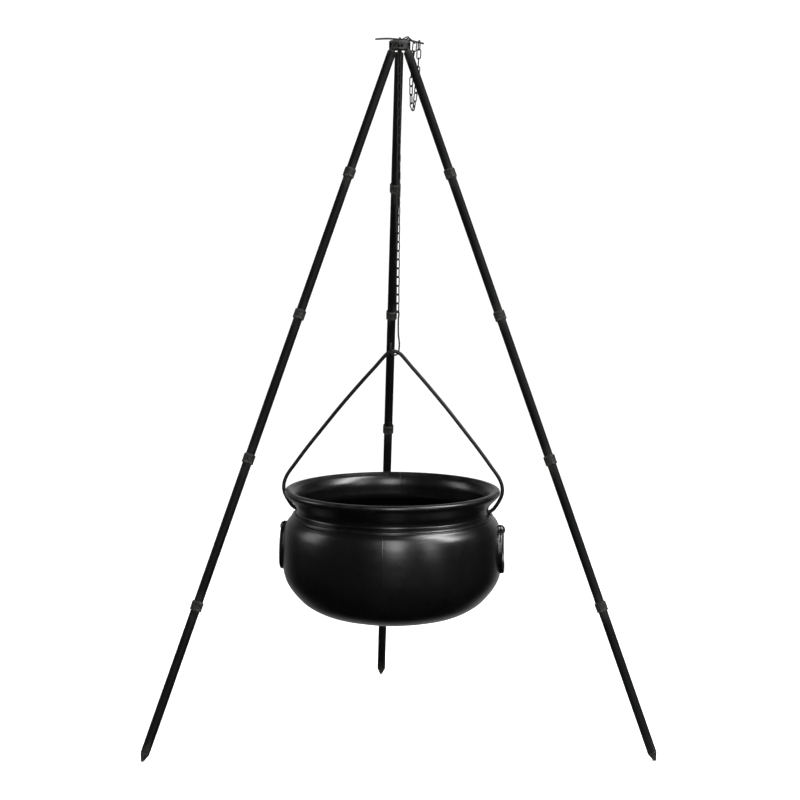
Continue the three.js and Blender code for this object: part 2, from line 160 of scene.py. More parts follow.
# ------------------------------------------------------------------ mesh code
class Build:
    """Collects vertices, faces and per-vertex values, then makes one object."""

    def __init__(self):
        self.v, self.f, self.loc, self.wear, self.tag = [], [], [], [], []

    def add(self, verts, faces, loc=None, wear=None, tag=None, matrix=None):
        base = len(self.v)
        verts = np.asarray(verts, float).reshape(-1, 3)
        n = len(verts)
        loc = verts if loc is None else np.asarray(loc, float).reshape(-1, 3)
        if matrix is not None:
            m = np.array(matrix)
            verts = verts @ m[:3, :3].T + m[:3, 3]
        self.v.extend(verts.tolist())
        self.loc.extend(loc.tolist())
        self.wear.extend([0.0] * n if wear is None else list(wear))
        self.tag.extend([0.0] * n if tag is None else list(tag))
        self.f.extend([tuple(base + i for i in f) for f in faces])

    def make(self, name, material, smooth_angle=35):
        m = np.array(HEAD)
        pts = np.asarray(self.v, float) * MM
        pts = pts @ m[:3, :3].T + m[:3, 3]
        me = bpy.data.meshes.new(name)
        me.from_pydata(pts.tolist(), [], self.f)
        me.validate()
        for key, data in (("wear", self.wear), ("tag", self.tag)):
            a = me.attributes.new(key, "FLOAT", "POINT")
            a.data.foreach_set("value", np.asarray(data, np.float32))
        a = me.attributes.new("loc", "FLOAT_VECTOR", "POINT")
        a.data.foreach_set("vector", np.asarray(self.loc, np.float32).ravel())
        me.update()
        fix_normals(me)
        o = bpy.data.objects.new(name, me)
        bpy.context.scene.collection.objects.link(o)
        smooth(o, smooth_angle)
        me.materials.append(material)
        return o


def fix_normals(me):
    import bmesh
    bm = bmesh.new()
    bm.from_mesh(me)
    bmesh.ops.recalc_face_normals(bm, faces=bm.faces)
    bm.to_mesh(me)
    bm.free()


def smooth(o, angle):
    for s in bpy.context.selected_objects:
        s.select_set(False)
    o.select_set(True)
    bpy.context.view_layer.objects.active = o
    if angle >= 179:
        bpy.ops.object.shade_smooth()
    else:
        bpy.ops.object.shade_smooth_by_angle(angle=rad(angle))
    o.select_set(False)


def lathe(outline, seg):
    """Revolves a closed [r, z, wear] outline about Z. A point with r 0 is one vertex."""
    verts, wear, rows = [], [], []
    for p in outline:
        r, z = p[0], p[1]
        w = p[2] if len(p) > 2 else 0.0
        if r < 1e-6:
            rows.append([len(verts)] * seg)
            verts.append((0, 0, z))
            wear.append(w)
        else:
            rows.append(list(range(len(verts), len(verts) + seg)))
            for i in range(seg):
                a = 2 * math.pi * i / seg
                verts.append((r * math.cos(a), r * math.sin(a), z))
                wear.append(w)
    faces = []
    n = len(rows)
    for k in range(n):
        a, b = rows[k], rows[(k + 1) % n]
        if a[0] == a[1] and b[0] == b[1]:
            continue
        for i in range(seg):
            j = (i + 1) % seg
            q = [a[i], a[j], b[j], b[i]]
            face = []
            for x in q:
                if x not in face:
                    face.append(x)
            if len(face) > 2:
                faces.append(tuple(face))
    return verts, faces, wear


def round_outline(points, radius=0.25, steps=3):
    """Rounds every corner of a closed [r, z, wear] outline that lies off the axis."""
    out = []
    n = len(points)
    for i, p in enumerate(points):
        a, b = points[i - 1], points[(i + 1) % n]
        P, A, B = np.array(p[:2], float), np.array(a[:2], float), np.array(b[:2], float)
        rr = p[3] if len(p) > 3 else radius
        w = p[2] if len(p) > 2 else 0.0
        la, lb = np.linalg.norm(A - P), np.linalg.norm(B - P)
        if P[0] < 1e-6 or rr <= 0 or la < 1e-6 or lb < 1e-6:
            out.append((P[0], P[1], w))
            continue
        d = min(rr, la * 0.45, lb * 0.45)
        pa, pb = P + (A - P) / la * d, P + (B - P) / lb * d
        for k in range(steps + 1):
            t = k / steps
            q = (1 - t) ** 2 * pa + 2 * t * (1 - t) * P + t * t * pb
            out.append((float(q[0]), float(q[1]), w))
    return out


def catmull(points, n):
    """Centripetal Catmull-Rom curve through the points, n + 1 points evenly spaced along it."""
    P = [np.array(p, float) for p in points]
    P = [2 * P[0] - P[1]] + P + [2 * P[-1] - P[-2]]
    dense = []
    for i in range(1, len(P) - 2):
        p0, p1, p2, p3 = P[i - 1:i + 3]
        d0, d1, d2 = (max(np.linalg.norm(a - b) ** 0.5, 1e-4) for a, b in ((p0, p1), (p1, p2), (p2, p3)))
        t1 = ((p1 - p0) / d0 - (p2 - p0) / (d0 + d1) + (p2 - p1) / d1) * d1
        t2 = ((p2 - p1) / d1 - (p3 - p1) / (d1 + d2) + (p3 - p2) / d2) * d1
        for k in range(40):
            t = k / 40
            dense.append(p1 + t1 * t + (-3 * p1 + 3 * p2 - 2 * t1 - t2) * t * t + (2 * p1 - 2 * p2 + t1 + t2) * t ** 3)
    dense.append(P[-2])
    dense = np.array(dense)
    s = np.concatenate([[0], np.cumsum(np.linalg.norm(np.diff(dense, axis=0), axis=1))])
    u = np.linspace(0, s[-1], n + 1)
    return np.stack([np.interp(u, s, dense[:, k]) for k in range(dense.shape[1])], 1)


def sweep(path, radius, sides=16, cap=4, swell=None):
    """A round bar along a path with domed ends. swell(u) multiplies the radius along 0..1."""
    path = np.asarray(path, float)
    s = np.concatenate([[0], np.cumsum(np.linalg.norm(np.diff(path, axis=0), axis=1))])
    total = s[-1]
    tang = np.gradient(path, axis=0)
    tang /= np.linalg.norm(tang, axis=1)[:, None]
    ref = np.array([0, 0, 1.0]) if abs(tang[0][2]) < 0.9 else np.array([1.0, 0, 0])
    normal = np.cross(tang[0], ref)
    normal /= np.linalg.norm(normal)
    frames = []
    for t in tang:
        normal = normal - t * np.dot(normal, t)
        normal /= np.linalg.norm(normal)
        frames.append((normal.copy(), np.cross(t, normal)))
    rings = []                     # centre, normal, binormal, radius, distance along
    for k in range(cap, 0, -1):
        a = math.pi / 2 * k / cap
        rings.append((path[0] - tang[0] * radius * math.sin(a), *frames[0], radius * math.cos(a), -radius * math.sin(a)))
    for i, p in enumerate(path):
        r = radius * (swell(s[i] / total) if swell else 1)
        rings.append((p, *frames[i], r, s[i]))
    for k in range(1, cap + 1):
        a = math.pi / 2 * k / cap
        rings.append((path[-1] + tang[-1] * radius * math.sin(a), *frames[-1], radius * math.cos(a), total + radius * math.sin(a)))
    verts, loc, faces, idx = [], [], [], []
    for c, n, b, r, d in rings:
        if r < radius * 1e-3:
            idx.append([len(verts)] * sides)
            verts.append(c)
            loc.append((0, 0, d))
            continue
        idx.append(list(range(len(verts), len(verts) + sides)))
        for i in range(sides):
            a = 2 * math.pi * i / sides
            verts.append(c + (n * math.cos(a) + b * math.sin(a)) * r)
            loc.append((radius * math.cos(a), radius * math.sin(a), d))
    for k in range(len(idx) - 1):
        a, b = idx[k], idx[k + 1]
        for i in range(sides):
            j = (i + 1) % sides
            f = []
            for x in (a[i], a[j], b[j], b[i]):
                if x not in f:
                    f.append(x)
            if len(f) > 2:
                faces.append(tuple(f))
    return verts, faces, loc, total


def trim(path, cut):
    """Takes a length off both ends, so that a domed end finishes where the bar does."""
    s = np.concatenate([[0], np.cumsum(np.linalg.norm(np.diff(path, axis=0), axis=1))])
    u = np.linspace(cut, s[-1] - cut, len(path))
    return np.stack([np.interp(u, s, path[:, k]) for k in range(3)], 1)


def cut_with(o, builder_verts, builder_faces, matrix):
    """Takes a closed shape away from an object, with a boolean modifier that is then applied."""
    me = bpy.data.meshes.new("cutter")
    m = np.array(HEAD)
    v = np.asarray(builder_verts, float)
    mm = np.array(matrix)
    v = (v @ mm[:3, :3].T + mm[:3, 3]) * MM
    v = v @ m[:3, :3].T + m[:3, 3]
    me.from_pydata(v.tolist(), [], builder_faces)
    fix_normals(me)
    c = bpy.data.objects.new("cutter", me)
    bpy.context.scene.collection.objects.link(c)
    mod = o.modifiers.new("cut", "BOOLEAN")
    mod.object = c
    mod.operation = "DIFFERENCE"
    mod.solver = "EXACT"
    bpy.context.view_layer.update()
    bpy.context.view_layer.objects.active = o
    bpy.ops.object.modifier_apply(modifier="cut")
    bpy.data.objects.remove(c)
    bpy.data.meshes.remove(me)


def slab(x0, x1, y0, y1, z0, z1):
    v = [(x, y, z) for z in (z0, z1) for y in (y0, y1) for x in (x0, x1)]
    f = [(0, 2, 3, 1), (4, 5, 7, 6), (0, 1, 5, 4), (2, 6, 7, 3), (0, 4, 6, 2), (1, 3, 7, 5)]
    return v, f


# ------------------------------------------------------------------ materials
def node_material(name, dark, light, wear_col, rough, rough_var, metallic, spec, grain, grain_bump,
                  wave_scale, wave_bump, streak=(1, 1, 1), wear_gain=1.0, coat=0.0, island=0.0, scratch=0.0):
    """One finish, all of it from nodes. Scales are per millimetre of the piece's own drawing."""
    m = bpy.data.materials.new(name)
    m.use_nodes = True
    nt = m.node_tree
    nt.nodes.clear()
    N, L = nt.nodes.new, nt.links.new
    out, bsdf = N("ShaderNodeOutputMaterial"), N("ShaderNodeBsdfPrincipled")
    L(bsdf.outputs[0], out.inputs[0])
    loc, wear = N("ShaderNodeAttribute"), N("ShaderNodeAttribute")
    loc.attribute_name, wear.attribute_name = "loc", "wear"

    def noise(scale, detail=3.0, roughness=0.55, stretch=(1, 1, 1), offset=(0, 0, 0)):
        mp, t = N("ShaderNodeMapping"), N("ShaderNodeTexNoise")
        mp.inputs["Scale"].default_value = stretch
        mp.inputs["Location"].default_value = offset
        L(loc.outputs["Vector"], mp.inputs["Vector"])
        L(mp.outputs[0], t.inputs["Vector"])
        t.inputs["Scale"].default_value = scale
        t.inputs["Detail"].default_value = detail
        t.inputs["Roughness"].default_value = roughness
        return t.outputs["Fac"]

    def ramp(value, lo, hi, a=0.0, b=1.0):
        r = N("ShaderNodeMapRange")
        r.interpolation_type = "SMOOTHSTEP"
        r.inputs["From Min"].default_value = lo
        r.inputs["From Max"].default_value = hi
        r.inputs["To Min"].default_value = a
        r.inputs["To Max"].default_value = b
        L(value, r.inputs["Value"])
        return r.outputs["Result"]

    def mix(fac, a, b):
        x = N("ShaderNodeMix")
        x.data_type = "RGBA"
        L(fac, x.inputs["Factor"])
        for v, key in ((a, 6), (b, 7)):
            if isinstance(v, tuple):
                x.inputs[key].default_value = (*v, 1)
            else:
                L(v, x.inputs[key])
        return x.outputs[2]

    def calc(op, a, b):
        x = N("ShaderNodeMath")
        x.operation = op
        for v, key in ((a, 0), (b, 1)):
            if isinstance(v, (int, float)):
                x.inputs[key].default_value = v
            else:
                L(v, x.inputs[key])
        return x.outputs[0]

    big = noise(wave_scale, 3.0, 0.6, streak)
    fine = noise(grain, 2.0, 0.6)
    patch = noise(wave_scale * 4.5, 5.0, 0.65, streak, (31, 7, 13))
    colour = mix(ramp(big, 0.3, 0.7), dark, light)
    if island:
        g = N("ShaderNodeNewGeometry")
        colour = mix(calc("MULTIPLY", g.outputs["Random Per Island"], island), colour, light)
    # rubbed places: the wear attribute broken up by patches
    rub = calc("MULTIPLY", wear.outputs["Fac"], ramp(patch, 0.38, 0.62))
    rub = calc("MINIMUM", calc("MULTIPLY", rub, wear_gain), 1.0)
    colour = mix(rub, colour, wear_col)
    rough_base = calc("ADD", ramp(patch, 0.25, 0.75, rough - rough_var, rough + rough_var), calc("MULTIPLY", fine, 0.05))
    if scratch:
        lines = noise(scratch, 2.0, 0.5, (1.0, 1.0, 0.02), (5, 3, 1))
        marks = ramp(lines, 0.68, 0.74)
        rough_base = calc("ADD", rough_base, calc("MULTIPLY", marks, 0.1))
        colour = mix(calc("MULTIPLY", marks, 0.35), colour, wear_col)
    L(colour, bsdf.inputs["Base Color"])
    L(calc("ADD", rough_base, calc("MULTIPLY", rub, 0.08)), bsdf.inputs["Roughness"])
    bsdf.inputs["Metallic"].default_value = metallic
    bsdf.inputs["Specular IOR Level"].default_value = spec
    if coat:
        bsdf.inputs["Coat Weight"].default_value = coat
        bsdf.inputs["Coat Roughness"].default_value = rough * 0.8
    b1, b2 = N("ShaderNodeBump"), N("ShaderNodeBump")
    b1.inputs["Distance"].default_value = 0.0002
    b1.inputs["Strength"].default_value = grain_bump
    b2.inputs["Distance"].default_value = 0.002
    b2.inputs["Strength"].default_value = wave_bump
    L(fine, b1.inputs["Height"])
    L(big, b2.inputs["Height"])
    L(b2.outputs[0], b1.inputs["Normal"])
    L(b1.outputs[0], bsdf.inputs["Normal"])
    return m


TUBE = node_material("tube_satin_black", (0.0008, 0.0008, 0.0009), (0.002, 0.002, 0.0021), (0.02, 0.0195, 0.018),
                     0.52, 0.07, 0.0, 0.05, 1.6, 0.25, 0.03, 0.05, (1, 1, 0.25), 0.8, 0.0, 0.0, 0.35)
COLLAR = node_material("collar_satin_black", (0.001, 0.001, 0.0011), (0.0024, 0.0024, 0.0026), (0.03, 0.029, 0.027),
                       0.5, 0.08, 0.0, 0.08, 1.4, 0.35, 0.09, 0.04, (1, 1, 1), 1.0)
HUB = node_material("head_satin_black", (0.001, 0.001, 0.0011), (0.0028, 0.0028, 0.003), (0.035, 0.034, 0.032),
                    0.48, 0.09, 0.0, 0.2, 1.1, 0.5, 0.06, 0.06, (1, 1, 1), 1.0)
STEEL = node_material("blackened_steel", (0.0015, 0.0015, 0.0015), (0.004, 0.0039, 0.0037), (0.05, 0.048, 0.046),
                      0.44, 0.1, 0.35, 0.2, 1.8, 0.4, 0.11, 0.05, (1, 1, 0.6), 1.0)
CHAIN = node_material("blackened_chain", (0.002, 0.002, 0.002), (0.007, 0.0068, 0.0064), (0.09, 0.087, 0.084),
                      0.42, 0.1, 0.45, 0.25, 2.2, 0.4, 0.25, 0.05, (1, 1, 1), 1.0, 0.0, 0.5)
POT = node_material("moulded_black", (0.0006, 0.0006, 0.0007), (0.0013, 0.0013, 0.0015), (0.006, 0.006, 0.0065),
                    0.27, 0.02, 0.0, 0.42, 1.3, 0.12, 0.012, 0.1, (1, 1, 1), 0.9, 0.0, 0.0, 0.0)
BAIL = node_material("bail_black", (0.0008, 0.0008, 0.0009), (0.002, 0.002, 0.0021), (0.018, 0.0176, 0.017),
                     0.42, 0.07, 0.0, 0.2, 1.2, 0.3, 0.05, 0.06, (1, 1, 0.3), 0.8)


# ------------------------------------------------------------------ head
def build_head():
    b = Build()
    # outside and top edge rounded, bore countersunk; the edges carry the wear
    outline = round_outline([
        (5.5, HUB_Z0, 0.4, 0.4), (HUB_R - 0.8, HUB_Z0, 0.5, 0.5), (HUB_R, HUB_Z0 + 0.8, 0.8, 0.5),
        (HUB_R, HUB_Z0 + 4.5, 0.1), (HUB_R, HUB_Z1 - 5, 0.1), (HUB_R, HUB_Z1 - 1.6, 0.9, 1.0),
        (HUB_R - 1.6, HUB_Z1, 0.9, 1.0), (14.0, HUB_Z1, 0.2), (9.5, HUB_Z1, 0.9, 0.5), (5.5, HUB_Z1 - 4, 1.0, 0.8)], 0.3, 4)
    b.add(*lathe(outline, 120)[:2], wear=lathe(outline, 120)[2])
    o = b.make("head_block", HUB, 30)
    for az in LEG_AZ.values():
        rz = Matrix.Rotation(rad(az), 4, "Z")
        v, f = slab(7.0, 27.0, -2.8, 2.8, HUB_Z0 - 10, HUB_Z0 + 10.2)
        cut_with(o, v, f, rz)
        ov = lathe([(2.3, -17), (2.3, 17), (0, 17), (0, -17)], 32)
        cut_with(o, ov[0], ov[1], rz @ Matrix.Translation((PIVOT_R, 0, PIVOT_Z)) @ Matrix.Rotation(rad(90), 4, "X"))
    bev = o.modifiers.new("edge", "BEVEL")
    bev.width = 0.0003
    bev.segments = 2
    bev.limit_method = "ANGLE"
    bev.angle_limit = rad(40)
    bpy.context.view_layer.objects.active = o
    bpy.ops.object.modifier_apply(modifier="edge")
    smooth(o, 30)
    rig.ride(o, "head")
    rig.replaces(o, "head_hub")
    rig.slot(o, "hub_black")
    for side, az in LEG_AZ.items():
        b = Build()
        # peened pin: its ends are slightly domed and swollen inside the hole
        out = round_outline([(0, -11, 0.6), (1.2, -11, 0.8, 0.5), (2.05, -10.4, 0.9, 0.4), (2.0, -9.6, 0.2), (2.0, 9.6, 0.2),
                             (2.05, 10.4, 0.9, 0.4), (1.2, 11, 0.8, 0.5), (0, 11, 0.6)], 0.2, 3)
        m = Matrix.Rotation(rad(az), 4, "Z") @ Matrix.Translation((PIVOT_R, 0, PIVOT_Z)) @ Matrix.Rotation(rad(90), 4, "X")
        v, f, w = lathe(out, 32)
        b.add(v, f, wear=w, matrix=m)
        p = b.make(f"head_pin_{side}", STEEL, 35)
        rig.ride(p, "head")
        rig.replaces(p, f"hinge_pin_{side}")
        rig.slot(p, "fitting_steel")


# ------------------------------------------------------------------ legs
def leg_matrix(az):
    return (Matrix.Rotation(rad(az), 4, "Z") @ Matrix.Translation((PIVOT_R, 0, PIVOT_Z))
            @ Matrix.Rotation(-SPREAD, 4, "Y"))


def tube_rows(z0, z1, r, wear_ends, n=9):
    """Long plain stretch of tube, split so that wear fades away from its ends."""
    rows = []
    for k in range(n + 1):
        t = k / n
        d = min(t, 1 - t)
        rows.append((r, z0 + (z1 - z0) * t, wear_ends * max(0.0, 1 - d * 14), 0.0))
    return rows


def build_leg(side, az):
    m = leg_matrix(az)
    body = f"leg_{side}"
    # lug: drilled tongue on a plug
    b = Build()
    out = round_outline([(0, -9.0), (6.8, -9.0, 0.7, 0.5), (6.8, -10.2, 0.4, 0.15), (6.0, -10.2, 0, 0.1), (6.0, -34), (5.0, -35), (0, -35)], 0.2, 3)
    v, f, w = lathe(out, 48)
    b.add(v, f, wear=w, matrix=m)
    # tongue: an outline with a round eye, drilled, extruded to its thickness
    ring_o, ring_i = [], []
    n = 40
    for i in range(n):
        a = math.pi * 2 * i / n
        x, z = 4 * math.cos(a), 4 * math.sin(a)
        if z < 0 and abs(x) <= 4:
            z = -10.5 if z < -0.01 else 0
            x = 4 * math.cos(a)
        ring_o.append((x, z))
        ring_i.append((2.3 * math.cos(a), 2.3 * math.sin(a)))
    layers = [(-2.5, 0.35), (-2.15, 0), (2.15, 0), (2.5, 0.35)]
    verts, wv = [], []
    for y, inset in layers:
        for x, z in ring_o:
            k = 1 - inset / 4 if z > -10 else 1 - inset / 10.5
            verts.append((x * (1 - inset / 4), y, z * k if z > -10 else z))
            wv.append(0.5)
        for x, z in ring_i:
            k = 1 + inset / 2.3
            verts.append((x * k, y, z * k))
            wv.append(0.7)
    faces = []
    for li in range(len(layers) - 1):
        o0, o1 = li * 2 * n, (li + 1) * 2 * n
        for i in range(n):
            j = (i + 1) % n
            faces.append((o0 + i, o0 + j, o1 + j, o1 + i))
            faces.append((o0 + n + j, o0 + n + i, o1 + n + i, o1 + n + j))
    for o0, flip in ((0, False), ((len(layers) - 1) * 2 * n, True)):
        for i in range(n):
            j = (i + 1) % n
            q = (o0 + i, o0 + n + i, o0 + n + j, o0 + j)
            faces.append(q if not flip else q[::-1])
    b.add(verts, faces, wear=wv, matrix=m)
    lug = b.make(f"{side}_lug", STEEL, 35)
    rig.ride(lug, body)
    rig.replaces(lug, f"leg_{side}_top_lug")
    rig.slot(lug, "fitting_steel")

    # plug-in sections
    for i in range(5):
        end = COLLARS[side][i] + 3 if i < 4 else SPIKE_TOP - 0.3
        if i == 0:
            out = [(6.3, -10.5, 0.2, 0.2), (TUBE_R, -10.5, 0.8, 0.35)] + tube_rows(-13, -end + 3, TUBE_R, 0.5) + [
                (TUBE_R, -end, 0.8, 0.3), (6.3, -end, 0.2, 0.2)]
        else:
            j = COLLARS[side][i - 1] + 3.3
            out = [(5.0, -(j - 32), 0, 0.2), (SPIGOT_R, -(j - 32), 0.3, 0.4), (SPIGOT_R, -j, 0.0, 0.1), (TUBE_R, -j, 0.8, 0.3)] + tube_rows(
                -j - 3, -end + 3, TUBE_R, 0.5) + [(TUBE_R, -end, 0.8, 0.3), (6.3, -end, 0.2, 0.2), (6.3, -(j + 3), 0, 0.2), (5.0, -(j + 1.8), 0, 0.2)]
        v, f, w = lathe(round_outline(out, 0.25, 3), 56)
        b = Build()
        b.add(v, f, wear=w, matrix=m)
        t = b.make(f"{side}_tube_{i + 1}", TUBE, 35)
        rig.ride(t, body)
        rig.replaces(t, f"leg_{side}_tube_{i + 1}")
        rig.slot(t, "tube_black")
    # collars: a pressed sleeve with a fine joint groove near its lower end
    for i, c in enumerate(COLLARS[side]):
        out = round_outline([
            (7.7, -(c - 7.8), 0.2, 0.2), (8.7, -(c - 7.8), 0.9, 0.3), (9.5, -(c - 7.0), 1.0, 0.5), (9.5, -(c - 4.0), 0.25, 0),
            (9.5, -(c + 2.4), 0.6, 0.15), (9.05, -(c + 3.0), 0.1, 0.15), (9.5, -(c + 3.6), 0.6, 0.15),
            (9.5, -(c + 7.0), 1.0, 0.5), (8.7, -(c + 7.8), 0.9, 0.3), (7.7, -(c + 7.8), 0.2, 0.2)], 0.25, 3)
        v, f, w = lathe(out, 56)
        b = Build()
        b.add(v, f, wear=w, matrix=m)
        t = b.make(f"{side}_collar_{i + 1}", COLLAR, 35)
        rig.ride(t, body)
        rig.replaces(t, f"leg_{side}_collar_{i + 1}")
        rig.slot(t, "collar_black")
    # ground spike, its point worn flat at ground level
    rows = [(0, -(SPIKE_TOP - 25), 0, 0), (5.0, -(SPIKE_TOP - 25), 0, 0.3), (SPIGOT_R, -(SPIKE_TOP - 24), 0, 0.3), (SPIGOT_R, -SPIKE_TOP, 0, 0.1),
            (TUBE_R, -SPIKE_TOP, 0.8, 0.25), (TUBE_R, -(SPIKE_TOP + 0.8), 0.6, 0.25)]
    for k in range(1, 6):
        t = k / 6
        rows.append((TUBE_R + (1.4 - TUBE_R) * t, -(SPIKE_TOP + 0.8 + (LEG_LEN + 1.6 - SPIKE_TOP - 0.8) * t), 0.3 + 0.7 * t, 0))
    rows += [(1.4, -(LEG_LEN + 1.6), 1, 0.3), (0, -(LEG_LEN + 1.6), 1, 0)]
    v, f, w = lathe(round_outline(rows, 0.25, 3), 48)
    mm = np.array(m)
    v = np.asarray(v, float)
    world = v @ mm[:3, :3].T + mm[:3, 3]
    world[:, 2] = np.maximum(world[:, 2], 0.0)
    b = Build()
    b.add(world, f, loc=v, wear=w)
    t = b.make(f"{side}_spike", STEEL, 35)
    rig.ride(t, body)
    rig.replaces(t, f"leg_{side}_spike")
    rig.slot(t, "fitting_steel")


# ------------------------------------------------------------------ chain
WIRE, LINK_HALF, LINK_W = 1.0, 9.2, 4.15
CHAIN_TOP, CHAIN_BOT, CHAIN_N = 1153.3, 713.3, 31
PITCH = (CHAIN_TOP - CHAIN_BOT) / (CHAIN_N - 1)


def link_mesh(up, down, seed):
    """A welded wire link in its XY plane, long along Y, with the weld on one straight side."""
    R = LINK_W - WIRE
    path = []
    arc = 14
    for i in range(arc + 1):
        a = math.pi * i / arc
        path.append((R * math.cos(a), R * math.sin(a) + up - LINK_W, 0))
    for t in np.linspace(0, 1, 12)[1:-1]:
        path.append((-R, (up - LINK_W) * (1 - t) - (down - LINK_W) * t, 0))
    for i in range(arc + 1):
        a = math.pi + math.pi * i / arc
        path.append((R * math.cos(a), R * math.sin(a) - (down - LINK_W), 0))
    for t in np.linspace(0, 1, 12)[1:-1]:
        path.append((R, -(down - LINK_W) * (1 - t) + (up - LINK_W) * t, 0))
    path = np.array(path)
    n = len(path)
    sides = 12
    verts, wear, faces = [], [], []
    rng = (math.sin(seed * 12.9898) * 43758.5453) % 1.0
    for i, p in enumerate(path):
        t = path[(i + 1) % n] - path[i - 1]
        t /= np.linalg.norm(t)
        out = np.array([t[1], -t[0], 0])
        r = WIRE
        if p[0] < -R + 0.01 and abs(p[1] - (rng - 0.5)) < 1.6:      # weld
            r *= 1 + 0.16 * math.cos((p[1] - (rng - 0.5)) / 1.6 * math.pi / 2) ** 2
        if abs(p[1]) > 5.2:
            r *= 0.985
        for k in range(sides):
            a = 2 * math.pi * k / sides
            verts.append(p + (out * math.cos(a) + np.array([0, 0, 1]) * math.sin(a)) * r)
            # bright where the links rub, inside each end
            inside = max(0.0, -math.cos(a)) if abs(p[1]) > 5.2 else 0.0
            wear.append(min(1.0, 0.15 + 0.85 * inside))
    for i in range(n):
        j = (i + 1) % n
        for k in range(sides):
            l = (k + 1) % sides
            faces.append((i * sides + k, j * sides + k, j * sides + l, i * sides + l))
    return np.array(verts), faces, wear


def place_link(b, centre, long, normal, up, down, seed):
    Y = Vector(long).normalized()
    Z = (Vector(normal) - Y * Vector(normal).dot(Y)).normalized()
    X = Y.cross(Z)
    m = Matrix(((X.x, Y.x, Z.x, centre[0]), (X.y, Y.y, Z.y, centre[1]), (X.z, Y.z, Z.z, centre[2]), (0, 0, 0, 1)))
    v, f, w = link_mesh(up, down, seed)
    b.add(v, f, loc=v + np.array([seed * 3.1, seed * 7.7, seed * 1.3]), wear=w, matrix=m)


def hang_run(b, k0, k1):
    half = PITCH / 2 + 2 * WIRE - 0.02
    for k in range(k0, k1 + 1):
        az = rad(35 + 5 * k / (CHAIN_N - 1) + (90 if k % 2 else 0))
        up = LINK_HALF if k == 0 else half
        down = LINK_HALF if k == CHAIN_N - 1 else half
        place_link(b, (0, 0, CHAIN_TOP - PITCH * k), (0, 0, 1), (math.cos(az), math.sin(az), 0), up, down, k + 1)


def build_chain():
    b = Build()
    hang_run(b, 0, 3)
    place_link(b, (7.5, -4.9, 1158.9), (13.6, -9.0, 6.9), (-0.2, 0.3, 0.93), LINK_HALF, LINK_HALF, 51)
    place_link(b, (19.3, -4.8, 1157.0), (0.712, 0.437, -0.55), (0.6, 0, 0.8), LINK_HALF, LINK_HALF, 52)
    o = b.make("links_head", CHAIN, 60)
    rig.ride(o, "hanger")
    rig.replaces(o, "hanger_links")
    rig.slot(o, "chain_black")
    for name, k0, k1, body in (("upper", 4, 16, "chain_top_run"), ("lower", 17, CHAIN_N - 1, "chain_bottom_run")):
        b = Build()
        hang_run(b, k0, k1)
        o = b.make(f"links_{name}", CHAIN, 60)
        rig.ride(o, body)
        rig.replaces(o, f"chain_{name}")
        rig.slot(o, "chain_black")
    # spare chain: touching points of its links, from the rod round to the head's edge
    J = [(33.70, 23.60, 1158.80), (33.29, 23.34, 1144.38), (32.82, 23.05, 1129.97), (32.09, 22.54, 1115.57),
         (31.13, 21.86, 1101.19), (29.94, 21.15, 1086.83), (28.52, 20.41, 1072.49), (26.84, 19.65, 1058.19),
         (24.78, 18.83, 1043.93), (20.27, 9.16, 1053.93), (19.94, 8.80, 1068.35), (19.93, 8.15, 1082.77),
         (20.30, 7.08, 1097.16), (21.04, 5.54, 1111.49), (22.32, 3.47, 1125.72), (24.00, 0.95, 1139.84),
         (25.44, -1.56, 1153.94)]
    b = Build()
    last = len(J) - 2
    for i in range(last + 1):
        p0, p1 = np.array(J[i]), np.array(J[i + 1])
        t = p0 - p1
        half = np.linalg.norm(t) / 2 + 2 * WIRE - 0.02
        twist = 90 * i / 8 if i <= 8 else 90 * (last - i) / (last - 8)
        az = rad((-78 if i % 2 else 22) - twist)
        place_link(b, tuple((p0 + p1) / 2), tuple(t), (math.cos(az), math.sin(az), 0), LINK_HALF if i == 0 else half,
                   half - (0.18 if i == last else 0), 70 + i)
    o = b.make("links_spare", CHAIN, 60)
    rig.ride(o, "spare_chain_loop")
    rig.replaces(o, "spare_chain")
    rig.slot(o, "chain_black")
    # cross rod
    c, s = math.cos(rad(35)), math.sin(rad(35))
    pts = [(c * d, s * d, z) for d, z in ((-50, 1155.9), (-34, 1157.6), (-20, 1158.6), (0, 1158.6), (20, 1158.7), (33, 1157.2), (50, 1155.2))]
    v, f, loc, total = sweep(trim(catmull(pts, 120), 0.7), 1.6, 20, 4)
    w = [0.35 + (0.6 if (l[2] < 1.5 or l[2] > total - 1.5) else 0) + (0.5 if abs(l[2] - total / 2) < 4 else 0) for l in loc]
    b = Build()
    b.add(v, f, loc=loc, wear=[min(1, x) for x in w])
    o = b.make("rod_over_head", STEEL, 60)
    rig.ride(o, "hanger")
    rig.replaces(o, "cross_rod")
    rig.slot(o, "fitting_steel")


# ------------------------------------------------------------------ hook and bail
RIM_Z, EAR_Z, BAIL_R, BAIL_TOP = 409.6, 372.6, 3.1, 640.7
POT = globals()["POT"]


